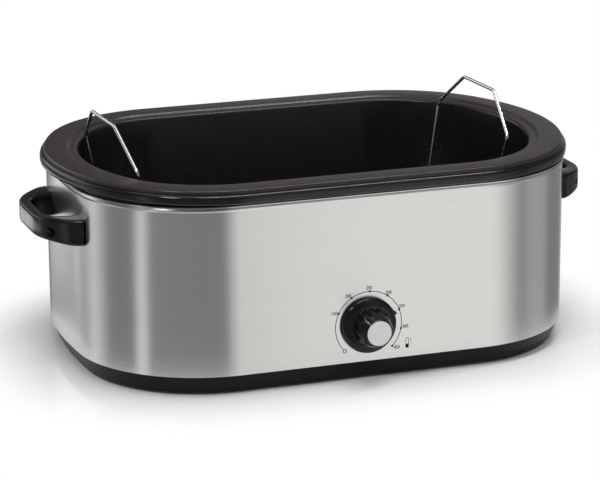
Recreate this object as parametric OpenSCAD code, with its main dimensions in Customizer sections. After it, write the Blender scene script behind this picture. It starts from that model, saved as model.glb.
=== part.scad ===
// Countertop electric roaster oven: an oval steel wrap on a moulded base, a heated well with a
// rolled rim, a lift-out roasting pan and a lift-out wire rack. Millimetres, +Z up, -Y is the front.
// The origin is on the worktop, under the middle of the wrap.

/* [Wrap] */
// Length of the steel wrap, end to end
wrap_len = 560; // [500:5:620]
// Depth of the steel wrap, front to back
wrap_dep = 377.5; // [345:2.5:410]
// Radius of the wrap's corners, seen from above
wrap_corner_r = 140; // [120:5:155]
// Radius of the wrap's bowed ends, seen from above
wrap_end_r = 720; // [600:5:1000]
// Height of the wrap's sheet
wrap_h = 183.5; // [160:0.5:220]
// Thickness of the wrap's sheet
wrap_t = 1; // [0.6:0.1:1.5]

/* [Base] */
// How far the feet stand below the base's edge
foot_proud = 2; // [1:0.5:6]
// Height of the base that shows below the wrap
base_h = 20.5; // [16:0.5:35]
// How far the base draws in from its shoulder to its lower edge
base_draw_in = 8; // [4:0.5:14]
// Wall thickness of the base
base_t = 3; // [2:0.5:4]
// Height of the base's upstand inside the wrap
base_upstand_h = 11; // [6:1:14]
// Thickness of the bottom plate
plate_t = 1; // [0.8:0.1:2]
// Radius of a rubber foot
foot_r = 11; // [8:0.5:15]

/* [Rim] */
// How far the pan's edge stands out past the wrap, at the front and the ends
rim_over = 9.5; // [6:0.5:14]
// Radius of the rim's corners, seen from above
rim_corner_r = 151; // [140:1:158]
// Radius of the rim's ends, seen from above
rim_end_r = 245; // [235:5:280]
// How far the well's rolled lip stands out past the pan's edge
lip_out = 4; // [3.5:0.5:7]
// Height of the well's rolled lip
lip_h = 10; // [7:0.5:12]
// Height of the well's flange over the wrap's top edge
flange_up = 15.4; // [14:0.2:20]

/* [Heating well] */
// Thickness of the well's sheet
well_t = 1; // [0.8:0.1:1.5]
// Distance of the well's wall from the pan's edge, at the top
well_in = 31; // [29:0.5:33]
// Draft of the well's wall, in degrees
well_draft = 3.5; // [1:0.5:4]
// Gap between the well's floor and the roasting pan
well_floor_gap = 6; // [3:0.5:12]

/* [Roasting pan] */
// Thickness of the pan's sheet
pan_t = 1.5; // [0.8:0.1:2]
// Depth of the pan, from the top of its flange to its floor
pan_depth = 168; // [130:1:175]
// Distance of the pan's opening from its edge
pan_in = 38; // [37:0.5:44]
// Distance of the flange's ridge from the pan's edge
ridge_in = 26; // [18:0.5:28]
// Drop of the ledge inside the ridge
ledge_drop = 2.6; // [1.5:0.1:2.8]
// Draft of the pan's wall, in degrees
pan_draft = 4; // [3:0.5:6]
// Radius between the pan's wall and floor
pan_floor_r = 25; // [15:1:35]

/* [Handles] */
// How far a handle stands out from the wrap
handle_out = 36; // [30:1:50]
// Thickness of the handle's bar
bar_t = 12; // [10:0.5:14]
// Height of the handle's bar
bar_h = 22; // [16:1:26]
// Distance of the handle's bottom edge below the wrap's top edge
bar_down = 54; // [51:1:95]
// Half the distance between the bar's corner centres
bar_half = 44; // [40:1:60]
// Distance of each handle screw from the middle of the handle
handle_screw_y = 58; // [56:1:60]
// Radius of the handle screws' shanks
handle_screw_r = 2.5; // [2:0.25:3]

/* [Knob and thermostat] */
// Knob centre, to the right of the wrap's middle
knob_x = 4.5; // [-40:0.5:40]
// Knob centre over the worktop
knob_z = 63; // [56:1:90]
// Radius of the knob's skirt
skirt_r = 30.5; // [26:0.5:34]
// Radius of the grip where it meets the skirt
grip_r = 20.5; // [18:0.5:23]
// Radius of the grip at its outer end
grip_top_r = 15.5; // [14.5:0.5:17]
// How far the knob stands out from the wrap
knob_out = 35; // [28:0.5:42]
// Number of flutes round the grip
flutes = 16; // [10:1:20]
// Angle of the pointer, clockwise from straight up
pointer_angle = 69.4; // [-130:0.1:130]
// Radius of the thermostat's shaft
shaft_r = 3; // [2.5:0.25:4]
// Running clearance between the shaft and its bush
shaft_clear = 0.05; // [0.02:0.01:0.09]

/* [Heating element] */
// Thickness of the band element
element_t = 1.6; // [1.2:0.1:2.5]
// Height of the band's lower edge
element_z = 98; // [95:1:110]
// Width of the band
element_w = 44; // [30:1:60]
// Thickness of the insulation blanket
blanket_t = 9; // [5:1:9]

/* [Rack] */
// Radius of the rack's frame wire
frame_wire_r = 2.5; // [2:0.25:3]
// Radius of the rack's cross wires
cross_wire_r = 1.5; // [1:0.25:2]
// Radius of the lifting handles' wire
grip_wire_r = 1.9; // [1.5:0.1:2.5]
// Distance of the frame wire from the pan's edge
rack_in = 83; // [78:1:100]
// Height of the frame wire over the pan's floor
rack_up = 18; // [12:1:30]
// Spacing of the cross wires
cross_pitch = 16; // [12:1:30]
// Turn of the loose rack as it lies in the pan, in degrees
rack_turn = 2.3; // [-3:0.1:3]
// Top of the lifting handles over the pan's flange
grip_up = 40; // [20:1:60]
// Half the length of a lifting handle's top bar
grip_half = 39; // [30:1:60]
// Half the width of a lifting handle at its widest bend
grip_bend_half = 92; // [80:1:96]

/* [Cord inlet] */
// Inlet bushing, to the right of the wrap's middle, seen from the front
inlet_x = 60; // [58:1:90]
// Inlet bushing over the worktop
inlet_z = 50; // [46:1:80]
// Radius of the hole for the cord
inlet_r = 4.5; // [3:0.25:5.5]

/* [Hidden] */
$fn = 96;

// Fits: a gap that lets two pieces go together, and the gap under a piece that lifts out
fit_gap = 0.1;
seat_gap = 0.1;

// Heights, from the worktop up
base_edge_z = foot_proud;
plate_z = base_edge_z + 3;
flange_z = plate_z + plate_t;
wrap_z = base_edge_z + base_h;
wrap_top = wrap_z + wrap_h;
well_flange_top = wrap_top + flange_up;
well_flange_z = well_flange_top - well_t / 2;
pan_flange_top = well_flange_top + seat_gap + 1 + 2 * pan_t + 0.5;
pan_flange_z = pan_flange_top - pan_t / 2;
pan_floor_top = pan_flange_top - pan_depth;
pan_floor_z = pan_floor_top - pan_t / 2;
well_floor_top = pan_floor_top - pan_t - well_floor_gap;
well_floor_z = well_floor_top - well_t / 2;
well_bottom = well_floor_top - well_t;
bar_z = wrap_top - bar_down;

// An oval of tangent arcs: straight front and back, bowed ends, round corners.
// [half length, half depth, end radius, corner radius, corner centre x, corner centre y, end's half angle]
function oval(a, b, re, rc) =
    let (cy = b - rc, cx = a - re + sqrt(pow(re - rc, 2) - cy * cy))
    [a, b, re, rc, round(1000 * cx) / 1000, cy, atan2(cy, cx - (a - re))];
wrap_oval = oval(wrap_len / 2, wrap_dep / 2, wrap_end_r, wrap_corner_r);
rim_oval = oval(wrap_len / 2 + rim_over, wrap_dep / 2 + rim_over, rim_end_r, rim_corner_r);

function tenth(x) = round(10 * x) / 10;

// Half depth of an oval, moved out by o, at the distance x from its middle
function half_depth(v, o, x) =
    x <= v[4] ? v[1] + o
    : let (corner = v[5] + sqrt(max(0, pow(v[3] + o, 2) - pow(x - v[4], 2))))
      x <= v[4] + (v[3] + o) * cos(v[6]) ? corner
      : sqrt(max(0, pow(v[2] + o, 2) - pow(x - v[0] + v[2], 2)));

// Half length of an oval, moved out by o, at the distance y from its long axis
function half_length(v, o, y) =
    y <= (v[2] + o) * sin(v[6]) ? v[0] - v[2] + sqrt(pow(v[2] + o, 2) - y * y)
    : v[4] + sqrt(max(0, pow(v[3] + o, 2) - pow(y - v[5], 2)));

// Bent sheet and wire ------------------------------------------------------------------------

function unit(v) = v / norm(v);
function heading(v) = atan2(v[1], v[0]);
function left_of(a) = [-sin(a), cos(a)];
function turn(a, b) = let (t = b - a) t > 180 ? t - 360 : t < -180 ? t + 360 : t;

// One face of a sheet bent along the points p: the bends' middle radii are r, and d is the
// distance of this face from the middle of the sheet, to the left
function bent(p, r, d, steps = 4) = let (last = len(p) - 1) concat(
    [p[0] + d * left_of(heading(p[1] - p[0]))],
    [for (i = [1 : last - 1])
        let (h = heading(p[i] - p[i - 1]), t = turn(h, heading(p[i + 1] - p[i])), s = sign(t),
             back = r[i - 1] * tan(abs(t) / 2),
             c = p[i] - back * unit(p[i] - p[i - 1]) + s * r[i - 1] * left_of(h))
        for (k = [0 : steps]) c - (s * r[i - 1] - d) * left_of(h + t * k / steps)],
    [p[last] + d * left_of(heading(p[last] - p[last - 1]))]);

function reversed(p) = [for (i = [len(p) - 1 : -1 : 0]) p[i]];

// The cut profile of a bent sheet of thickness t
module sheet(p, r, t, steps = 4) {
    polygon(concat(bent(p, r, t / 2, steps), reversed(bent(p, r, -t / 2, steps))));
}

// The points of an arc
function arc(c, r, a0, a1, steps = 4) =
    [for (k = [0 : steps]) let (a = a0 + (a1 - a0) * k / steps) c + r * [cos(a), sin(a)]];

// A round bar from p to q
module bar(p, q, r) {
    d = q - p;
    translate(p) rotate([0, acos(d[2] / norm(d)), atan2(d[1], d[0])]) cylinder(r = r, h = norm(d));
}

// A round wire along the points p, whose bends are all square, of radius bend at its middle
module wire(p, r, bend) {
    last = len(p) - 1;
    u = [for (i = [0 : last - 1]) unit(p[i + 1] - p[i])];
    cut = concat([0], [for (i = [1 : last - 1]) bend], [0]);
    for (i = [0 : last - 1]) bar(p[i] + cut[i] * u[i], p[i + 1] - cut[i + 1] * u[i], r);
    for (i = [1 : last - 1]) {
        z = cross(u[i - 1], u[i]);
        c = p[i] - bend * u[i - 1] + bend * u[i];
        multmatrix([
            [-u[i][0], u[i - 1][0], z[0], c[0]],
            [-u[i][1], u[i - 1][1], z[1], c[1]],
            [-u[i][2], u[i - 1][2], z[2], c[2]]
        ]) rotate_extrude(angle = 90) translate([bend, 0]) circle(r = r);
    }
}

// A wire along the points p of the XY plane, with each bend drawn as one short length
module flat_wire(p, r, bend) {
    points = [for (v = bent(p, [for (i = [2 : len(p) - 1]) bend], 0, 1)) [v[0], v[1], 0]];
    last = len(points) - 1;
    for (i = [0 : last - 1]) bar(points[i], points[i + 1], r);
    for (i = [1 : last - 1]) translate(points[i]) ball(r);
}

// The ball that joins two lengths of wire
module ball(r) {
    sphere(r = r + 0.09, $fn = 32);
}

// Ovals ----------------------------------------------------------------------------------------

// The area of an oval, moved out by o
module oval_area(v, o) {
    square([2 * v[4], 2 * (v[1] + o)], center = true);
    x0 = max(0, v[0] - v[2] + 1);
    x1 = v[0] + o + 5;
    y0 = tan(v[6]) * (x0 - v[0] + v[2]);
    y1 = tan(v[6]) * (x1 - v[0] + v[2]);
    reach = 2 * (v[3] + o);
    for (sx = [-1, 1]) {
        intersection() {
            translate([sx * (v[0] - v[2]), 0]) circle(r = v[2] + o);
            polygon([[sx * x0, y0], [sx * x1, y1], [sx * x1, -y1], [sx * x0, -y0]]);
        }
        for (sy = [-1, 1]) intersection() {
            translate([sx * v[4], sy * v[5]]) circle(r = v[3] + o);
            translate([sx * v[4], sy * v[5]]) polygon([
                [0, 0], [sx * reach * cos(v[6]), sy * reach * sin(v[6])],
                [sx * reach, sy * reach], [0, sy * reach]
            ]);
        }
    }
}

// Sweeps the profile below it round an oval, less a gap of half length gap at the back: the
// profile's x is out from the oval and its y is up
module oval_sweep(v, gap = 0) {
    for (s = [0, 1]) rotate(180 * s) {
        translate([v[0] - v[2], 0])
            rotate_extrude(angle = 2 * v[6], start = -v[6]) translate([v[2], 0]) children();
        translate([v[4], v[5]])
            rotate_extrude(angle = 90 - v[6], start = v[6]) translate([v[3], 0]) children();
        translate([-v[4], v[5]])
            rotate_extrude(angle = 90 - v[6], start = 90) translate([v[3], 0]) children();
    }
    translate([v[4], -v[1], 0]) rotate([90, 0, -90]) linear_extrude(2 * v[4]) children();
    if (gap == 0) translate([-v[4], v[1], 0]) rotate([90, 0, 90]) linear_extrude(2 * v[4]) children();
    else for (x = [-v[4], gap]) translate([x, v[1], 0]) rotate([90, 0, 90])
        linear_extrude(v[4] - gap) children();
}

// Wrap and base --------------------------------------------------------------------------------

handle_screw_z = bar_z + bar_h / 2 - 2;
// A place for each handle screw: the side of the oven and the side of the handle
handle_screws_at = [for (sx = [-1, 1], sy = [-1, 1]) [sx, sy]];
thermostat_screw_x = 14;
thermostat_screw_r = 1.75;
bush_r = shaft_r + 2.5;
inlet_neck_r = inlet_r + 3.5;

// Brushed steel sheet round the oven, with a bead under its top edge
module steel_wrap() {
    bead_z = wrap_top - 3;
    middle = -wrap_t / 2;
    color([0.72, 0.71, 0.69]) difference() {
        oval_sweep(wrap_oval) sheet([
            [middle, wrap_z], [middle, bead_z - 2], [middle + 1, bead_z],
            [middle, bead_z + 2], [middle, wrap_top]
        ], [1.5, 1, 1.5], wrap_t, 2);
        for (s = handle_screws_at) translate([0, s[1] * handle_screw_y, handle_screw_z])
            rotate([0, 90 * s[0], 0]) cylinder(r = handle_screw_r + 0.3, h = wrap_len);
        front_hole(0, bush_r + fit_gap);
        for (s = [-1, 1]) front_hole(s * thermostat_screw_x, thermostat_screw_r + fit_gap);
        translate([inlet_x, wrap_dep / 2 - 10, inlet_z]) rotate([-90, 0, 0])
            cylinder(r = inlet_neck_r + fit_gap, h = 20);
    }
}

// A round hole through the front of the wrap, beside the knob's axis by x
module front_hole(x, r) {
    translate([knob_x + x, -wrap_dep / 2 - 10, knob_z]) rotate([-90, 0, 0])
        cylinder(r = r, h = 20);
}

base_shoulder = -0.5;
base_flange_in = 40;
plate_in = 16.5;
base_screws_at = concat(
    [for (sx = [-1, 1], sy = [-1, 1]) [sx * 0.62 * wrap_oval[4], sy * (wrap_dep / 2 - 28)]],
    [for (sx = [-1, 1]) [sx * (wrap_len / 2 - 28), 0]]);
base_screw_r = 1.75;

// Black moulding under the wrap: a shoulder, a drawn-in wall with a round lower edge, an upstand
// that locates the wrap, and a flange that the bottom plate screws to
module base() {
    edge_r = 3;
    low = base_shoulder - base_draw_in;
    lean = atan2(base_draw_in, base_h);
    inner = base_shoulder - base_t;
    color([0.06, 0.06, 0.06]) difference() {
        oval_sweep(wrap_oval) polygon(concat(
            [[base_shoulder, wrap_z]],
            arc([low - edge_r, base_edge_z + edge_r], edge_r, -lean, -90),
            [
                [-plate_in + 0.5, base_edge_z], [-plate_in + 0.5, flange_z],
                [-base_flange_in, flange_z], [-base_flange_in, flange_z + base_t],
                [low - base_t, flange_z + base_t], [inner - 2, wrap_z - base_t],
                [-wrap_t - fit_gap - base_t, wrap_z],
                [-wrap_t - fit_gap - base_t, wrap_z + base_upstand_h],
                [-wrap_t - fit_gap, wrap_z + base_upstand_h], [-wrap_t - fit_gap, wrap_z]
            ]
        ));
        for (p = base_screws_at) translate([p[0], p[1], flange_z - 1])
            cylinder(r = base_screw_r, h = base_t + 2);
    }
}

foot_at = [0.71 * wrap_len / 2, 0.59 * wrap_dep / 2];
foot_neck_r = 4;
stud_at = [0.54 * wrap_len / 2, 0.37 * wrap_dep / 2];
stud_r = 2.5;
stud_gap = 0.25;
corners = [for (sx = [-1, 1], sy = [-1, 1]) [sx, sy]];

// Steel plate that closes the base, with vents under the well
module bottom_plate() {
    vent = [5, 46];
    color([0.62, 0.63, 0.64]) translate([0, 0, plate_z]) linear_extrude(plate_t) difference() {
        oval_area(wrap_oval, -plate_in);
        for (s = corners) {
            translate([s[0] * foot_at[0], s[1] * foot_at[1]]) circle(r = foot_neck_r);
            translate([s[0] * stud_at[0], s[1] * stud_at[1]]) circle(r = stud_r + stud_gap);
        }
        for (p = base_screws_at) translate(p) circle(r = base_screw_r + 0.2);
        for (x = [-5 : 5], sy = [-1, 1]) translate([x * 15, sy * 40]) {
            square(vent, center = true);
            for (e = [-1, 1]) translate([0, e * vent[1] / 2]) circle(r = vent[0] / 2);
        }
    }
}

// Rubber feet, each snapped into the bottom plate by its neck
module feet() {
    head_h = 2.5;
    color([0.09, 0.09, 0.09]) for (s = corners)
        translate([s[0] * foot_at[0], s[1] * foot_at[1], 0]) rotate_extrude() polygon([
            [0, 0], [foot_r - 1.5, 0], [foot_r - 0.5, 1], [foot_r, plate_z], [foot_neck_r, plate_z],
            [foot_neck_r, plate_z + plate_t], [foot_neck_r + 1.2, plate_z + plate_t],
            [foot_neck_r - 1, plate_z + plate_t + head_h], [0, plate_z + plate_t + head_h]
        ]);
}

// Self-tapping screws that hold the bottom plate to the base's flange
module base_screws() {
    head = [4, 2.2];
    color([0.7, 0.7, 0.7]) for (p = base_screws_at) translate([p[0], p[1], plate_z]) {
        mirror([0, 0, 1]) pan_head(head, 1.1);
        cylinder(r = base_screw_r, h = plate_t + base_t);
    }
}

// A pan head on the plane below it, [radius, height], with a cross recess of half length arm
module pan_head(head, arm) {
    crown = head[1] * 0.6;
    difference() {
        rotate_extrude() polygon(concat(
            [[0, 0], [head[0], 0]],
            arc([head[0] - crown, head[1] - crown], crown, 0, 90), [[0, head[1]]]
        ));
        for (a = [0, 90]) rotate(a) translate([0, 0, head[1]])
            cube([2 * arm, 0.7, head[1]], center = true);
    }
}

// Rim --------------------------------------------------------------------------------------------

// Black trim ring: it sits on the wrap's top edge and carries the well's flange
module trim_collar() {
    out = -wrap_t - fit_gap;
    inner = out - 3;
    under_flange = well_flange_top - well_t;
    color([0.08, 0.08, 0.08]) oval_sweep(wrap_oval) polygon(concat(
        [[inner, wrap_top - 8], [out, wrap_top - 8], [out, wrap_top], [0.2, wrap_top]],
        arc([0.2, wrap_top + 1.3], 1.3, -90, 60),
        [[-0.3, wrap_top + 3], [-0.3, wrap_top + 4.4], [out, wrap_top + 5]],
        [[out, under_flange], [inner, under_flange]]
    ));
}

well_bend = 5;
well_floor_r = pan_floor_r;
well_drop = well_flange_z - well_floor_z;
well_wall_in = -well_in - well_drop * tan(well_draft);
well_floor_in = well_wall_in - well_floor_r - 4;

// The well's wall, middle of the sheet: distance from the pan's edge at the height z
function well_wall(z) = -well_in - (well_flange_z - z) * tan(well_draft);

// Enamelled inner tub: floor, drafted wall, flange and a rolled lip with a curled edge
module heating_well() {
    lip = lip_out - well_t / 2;
    color([0.07, 0.07, 0.07]) {
        oval_sweep(rim_oval) sheet([
            [well_floor_in, well_floor_z], [well_wall_in, well_floor_z],
            [-well_in, well_flange_z], [lip, well_flange_z],
            [lip, well_flange_top - lip_h], [lip - 3.6, well_flange_top - lip_h]
        ], [well_floor_r, well_bend, 4, 2.2], well_t);
        translate([0, 0, well_bottom]) linear_extrude(well_t) oval_area(rim_oval, well_floor_in);
    }
}

pan_wall_top = -pan_in + pan_t / 2;
pan_drop = pan_flange_z - ledge_drop - pan_floor_z;
pan_wall_in = pan_wall_top - pan_drop * tan(pan_draft);
pan_floor_in = pan_wall_in - pan_floor_r - 4;

// Lift-out pan: a wide flange with a turned-down edge, a ridge, a ledge round the opening, and a
// drafted wall with a large radius into the floor
module roasting_pan() {
    edge = -pan_t / 2;
    color([0.13, 0.12, 0.12]) {
        oval_sweep(rim_oval) sheet([
            [edge, well_flange_top + seat_gap], [edge, pan_flange_z], [-ridge_in, pan_flange_z],
            [-ridge_in - 2.5, pan_flange_z - ledge_drop], [pan_wall_top, pan_flange_z - ledge_drop],
            [pan_wall_in, pan_floor_z], [pan_floor_in, pan_floor_z]
        ], [2, 2, 2, 3.5, pan_floor_r], pan_t);
        translate([0, 0, pan_floor_top - pan_t]) linear_extrude(pan_t)
            oval_area(rim_oval, pan_floor_in);
    }
}

// Inside the wrap ----------------------------------------------------------------------------------

blanket_in = -25;
thermostat = [36, 18, 40];

// Glass-fibre blanket round the element, notched over the thermostat
module insulation_blanket() {
    top = wrap_top - 14;
    bottom = wrap_z + base_upstand_h + 6;
    color([0.87, 0.83, 0.72]) difference() {
        oval_sweep(rim_oval) translate([blanket_in, bottom]) square([blanket_t, top - bottom]);
        translate([knob_x, -wrap_dep / 2, knob_z])
            cube([thermostat[0] + 14, 80, thermostat[2] + 14], center = true);
        for (s = handle_screws_at) translate([0, s[1] * handle_screw_y, handle_screw_z])
            rotate([0, 90 * s[0], 0]) cylinder(r = handle_screw_r + 3, h = wrap_len);
        translate([inlet_x, wrap_dep / 2, inlet_z])
            cube([2 * inlet_neck_r + 12, 80, 2 * inlet_neck_r + 12], center = true);
    }
}

element_gap = 30;
element_mid = element_z + element_w / 2;
pin_r = 1.4;
pin_len = 12;
strap_t = 1;

// The outer face of the well's wall at the height z
function well_face(z) = well_wall(z) + well_t / 2 / cos(well_draft);

// The band's outer face at the height z, and how far back its terminal pins are
function band_face(z) = well_face(z) + 0.2 + element_t;
pin_y = tenth(rim_oval[1] + band_face(element_mid) + pin_r - 0.4);

// Flat band round the well: a ribbon element between sheets of mica in a steel channel, open at the
// back, with a terminal pin on each end
module heating_element() {
    z0 = element_z;
    z1 = element_z + element_w;
    lip = 0.6;
    color([0.42, 0.4, 0.38]) {
        oval_sweep(rim_oval, element_gap) polygon([
            [band_face(z0) - element_t, z0], [band_face(z0) + lip, z0], [band_face(z0 + 3) + lip, z0 + 3],
            [band_face(z0 + 3), z0 + 3], [band_face(z1 - 3), z1 - 3], [band_face(z1 - 3) + lip, z1 - 3],
            [band_face(z1) + lip, z1], [band_face(z1) - element_t, z1]
        ]);
        for (s = [-1, 1])
            bar([s * (element_gap - pin_len), pin_y, element_mid],
                [s * (element_gap + 5), pin_y, element_mid], pin_r);
    }
}

// Steel straps welded to the well's flat sides over the band
module element_clips() {
    width = 10;
    z0 = element_z - 1;
    z1 = element_z + element_w + 1;
    over = 0.6 + 0.3;
    color([0.7, 0.7, 0.68]) for (sy = [-1, 1], sx = [-1, 1])
        translate([sx * 0.6 * rim_oval[4], sy * rim_oval[1], 0]) rotate([90, 0, sy > 0 ? 90 : -90])
            linear_extrude(width, center = true) polygon([
                [well_face(z0 - 12), z0 - 12], [well_face(z0 - 1.5), z0 - 1.5],
                [band_face(z0) + over, z0 - 0.5], [band_face(z1) + over, z1 + 0.5],
                [well_face(z1 + 1.5), z1 + 1.5], [well_face(z1 + 12), z1 + 12],
                [well_face(z1 + 12) + strap_t, z1 + 12], [well_face(z1 + 2) + strap_t, z1 + 2],
                [band_face(z1) + over + strap_t, z1 + 1], [band_face(z0) + over + strap_t, z0 - 1],
                [well_face(z0 - 2) + strap_t, z0 - 2], [well_face(z0 - 12) + strap_t, z0 - 12]
            ]);
}

// Studs welded under the well
module tie_studs() {
    color([0.75, 0.75, 0.75]) for (s = corners)
        translate([s[0] * stud_at[0], s[1] * stud_at[1], 0.8])
            cylinder(r = stud_r, h = well_bottom - 0.8);
}

// Spacer tubes between the well's floor and the bottom plate
module tie_spacers() {
    color([0.66, 0.66, 0.66]) for (s = corners)
        translate([s[0] * stud_at[0], s[1] * stud_at[1], flange_z]) difference() {
            cylinder(r = stud_r + 3.5, h = well_bottom - flange_z);
            translate([0, 0, -1]) cylinder(r = stud_r + stud_gap, h = well_bottom - flange_z + 2);
        }
}

// Hexagon nuts that draw the well, wrap and base together
module tie_nuts() {
    nut = [4.62, 3.6];
    color([0.78, 0.78, 0.78]) for (s = corners)
        translate([s[0] * stud_at[0], s[1] * stud_at[1], plate_z - nut[1]]) difference() {
            cylinder(r = nut[0], h = nut[1], $fn = 6);
            translate([0, 0, -1]) cylinder(r = stud_r, h = nut[1] + 2);
        }
}

wrap_inner = wrap_dep / 2 - wrap_t;
tabs_t = 1.2;
thermostat_front = -wrap_inner + tabs_t;
bush_out = 3;
shaft_in = 12;
tab_x = 9;
tab_drop = 6;
tab_z = knob_z - thermostat[2] / 2 - tab_drop;

// Thermostat: case, mounting tabs against the wrap, and the bush that the shaft turns in
module thermostat_body() {
    tabs = [2 * thermostat_screw_x + 12, tabs_t, 14];
    color([0.2, 0.18, 0.16]) difference() {
        union() {
            translate([knob_x - thermostat[0] / 2, thermostat_front, knob_z - thermostat[2] / 2])
                cube(thermostat);
            translate([knob_x - tabs[0] / 2, -wrap_inner, knob_z - tabs[2] / 2]) cube(tabs);
            translate([knob_x, -wrap_inner - wrap_t - bush_out, knob_z]) rotate([-90, 0, 0])
                cylinder(r = bush_r, h = wrap_t + bush_out + tabs_t + 1);
            for (s = [-1, 1]) translate([knob_x + s * tab_x - 3, thermostat_front + 11, tab_z])
                cube([6, 0.8, tab_drop + 2]);
        }
        translate([knob_x, -wrap_inner - 10, knob_z]) rotate([-90, 0, 0])
            cylinder(r = shaft_r + shaft_clear, h = 10 + shaft_in + 0.5);
        for (s = [-1, 1]) translate([knob_x + s * thermostat_screw_x, -wrap_inner - 1, knob_z])
            rotate([-90, 0, 0]) cylinder(r = thermostat_screw_r, h = 9);
    }
}

// Screws that hold the thermostat to the wrap, under the knob's skirt
module thermostat_screws() {
    color([0.7, 0.7, 0.7]) for (s = [-1, 1])
        translate([knob_x + s * thermostat_screw_x, -wrap_inner - wrap_t, knob_z]) {
            rotate([90, 0, 0]) pan_head([3.4, 2], 1.1);
            rotate([-90, 0, 0]) cylinder(r = thermostat_screw_r, h = wrap_t + tabs_t + 6);
        }
}

bulb_r = 3;
bulb_len = 60;
capillary_r = 0.8;
capillary_bend = 3;
capillary_out = 7;
capillary_run = 16;
bulb_z = knob_z + 12;
bulb_y = -tenth(rim_oval[1] + well_wall(bulb_z) + well_t / 2 + bulb_r + 0.35);

// Sensing bulb on the well's front wall, its capillary, and the clip that holds it
module sensing_bulb() {
    start = [knob_x + thermostat[0] / 2, -wrap_inner + 12, bulb_z];
    turn_x = start[0] + capillary_out;
    bulb_x = start[0] + capillary_run;
    clip_w = 8;
    color([0.72, 0.45, 0.25]) {
        wire([start, [turn_x, start[1], bulb_z], [turn_x, bulb_y, bulb_z], [bulb_x, bulb_y, bulb_z]],
            capillary_r, capillary_bend);
        bar([bulb_x, bulb_y, bulb_z], [bulb_x + bulb_len, bulb_y, bulb_z], bulb_r);
        translate([bulb_x + bulb_len / 2, -rim_oval[1], 0]) rotate([90, 0, -90])
            linear_extrude(clip_w, center = true) difference() {
                translate([-rim_oval[1] - bulb_y, bulb_z]) circle(r = bulb_r + 1);
                polygon([
                    [well_wall(bulb_z - 30) + well_t / 2, bulb_z - 30],
                    [well_wall(bulb_z + 30) + well_t / 2, bulb_z + 30],
                    [well_wall(bulb_z) - 30, bulb_z + 30], [well_wall(bulb_z) - 30, bulb_z - 30]
                ]);
            }
    }
}

block = [46, 20, 17];
block_at = [inlet_x - 20, wrap_dep / 2 - 56];
block_wires = [for (k = [0 : 3]) block_at[0] - block[0] / 2 + 5 + k * 12];

// Ceramic terminal block on the bottom plate, with a screw over each wire
module terminal_block() {
    color([0.9, 0.88, 0.82]) translate([block_at[0] - block[0] / 2, block_at[1] - block[1] / 2, flange_z])
        difference() {
            cube(block);
            for (k = [0 : 3]) translate([5 + k * 12, block[1] / 2, block[2] - block_bore_depth])
                cylinder(r = 3, h = block[2]);
            for (k = [0 : 2]) translate([11 + k * 12, -1, 10]) cube([1.2, block[1] + 2, block[2]]);
        }
}

lead_r = 1.6;
lead_bend = 4;
block_bore_depth = 11;
block_top = flange_z + block[2] - block_bore_depth;
// The leads run over the block, midway to the well's floor
lead_z = tenth((flange_z + block[2] + well_bottom) / 2);
lead_step = 6;
lead_loop = 14;

// Leads from the element's pins down to the terminal block
module heater_leads() {
    x = element_gap - pin_len;
    loop_y = block_at[1] + lead_loop;
    color([0.85, 0.84, 0.8]) {
        wire([[x, pin_y, element_mid], [x - lead_step, pin_y, element_mid], [x - lead_step, pin_y, lead_z],
              [x - lead_step, loop_y, lead_z], [block_wires[1], loop_y, lead_z],
              [block_wires[1], block_at[1], lead_z], [block_wires[1], block_at[1], block_top]],
            lead_r, lead_bend);
        wire([[-x, pin_y, element_mid], [lead_step - x, pin_y, element_mid], [lead_step - x, pin_y, lead_z],
              [lead_step - x, block_at[1], lead_z], [block_wires[0], block_at[1], lead_z],
              [block_wires[0], block_at[1], block_top]], lead_r, lead_bend);
    }
}

// Leads from the thermostat's tabs, along the bottom plate under the well, and up into the block
module thermostat_leads() {
    y = thermostat_front + 11.4;
    low_z = tenth(flange_z + base_t + lead_r + 1);
    rise_y = block_at[1] - block[1] / 2 - 2 * lead_bend;
    color([0.75, 0.12, 0.1]) for (s = [-1, 1]) {
        x = knob_x + s * tab_x;
        end = block_wires[s < 0 ? 2 : 3];
        cross_y = 50 - 10 * s;
        wire([[x, y, tab_z], [x, y, low_z], [x, cross_y, low_z],
              [end, cross_y, low_z], [end, rise_y, low_z], [end, rise_y, lead_z],
              [end, block_at[1], lead_z], [end, block_at[1], block_top]], lead_r, lead_bend);
    }
}

// Bushing that a supply cord enters through, snapped into the back of the wrap
module cord_bushing() {
    inner_len = 8;
    snap = 1.2;
    color([0.07, 0.07, 0.07]) translate([inlet_x, wrap_dep / 2, inlet_z]) rotate([90, 0, 0])
        rotate_extrude() polygon(concat(
            [[inlet_r, -3], [inlet_neck_r + 2, -3], [inlet_neck_r + 3, -2], [inlet_neck_r + 3, 0]],
            [[inlet_neck_r, 0], [inlet_neck_r, wrap_t], [inlet_neck_r + snap, wrap_t]],
            [[inlet_neck_r - 0.6, inner_len], [inlet_r, inner_len]]
        ));
}

// Handles ------------------------------------------------------------------------------------------

bar_out = wrap_len / 2 + handle_out;
post_r = bar_t;
backing_t = 3;

// A round-edged post at a corner of the handle
module handle_post() {
    e = 3;
    rotate_extrude($fn = 40) polygon(concat(
        [[0, bar_z]], arc([post_r - e, bar_z + e], e, -90, 0, 3),
        arc([post_r - e, bar_z + bar_h - e], e, 0, 90, 3), [[0, bar_z + bar_h]]
    ));
}

// The end of a handle's arm on the wrap: flat top, and a side that swells towards its lower part
module handle_foot() {
    y = handle_screw_y;
    top = bar_z + bar_h + 2.5;
    low = bar_z - 5;
    rotate([90, 0, 90]) linear_extrude(2) polygon(concat(
        [[y - 8, low], [y + 16, low]],
        arc([y + 20, low + 9], 8, -60, 20, 4),
        [[y + 25, low + 17], [y + 13, top - 1], [y + 11, top], [y - 8, top]]
    ));
}

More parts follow.
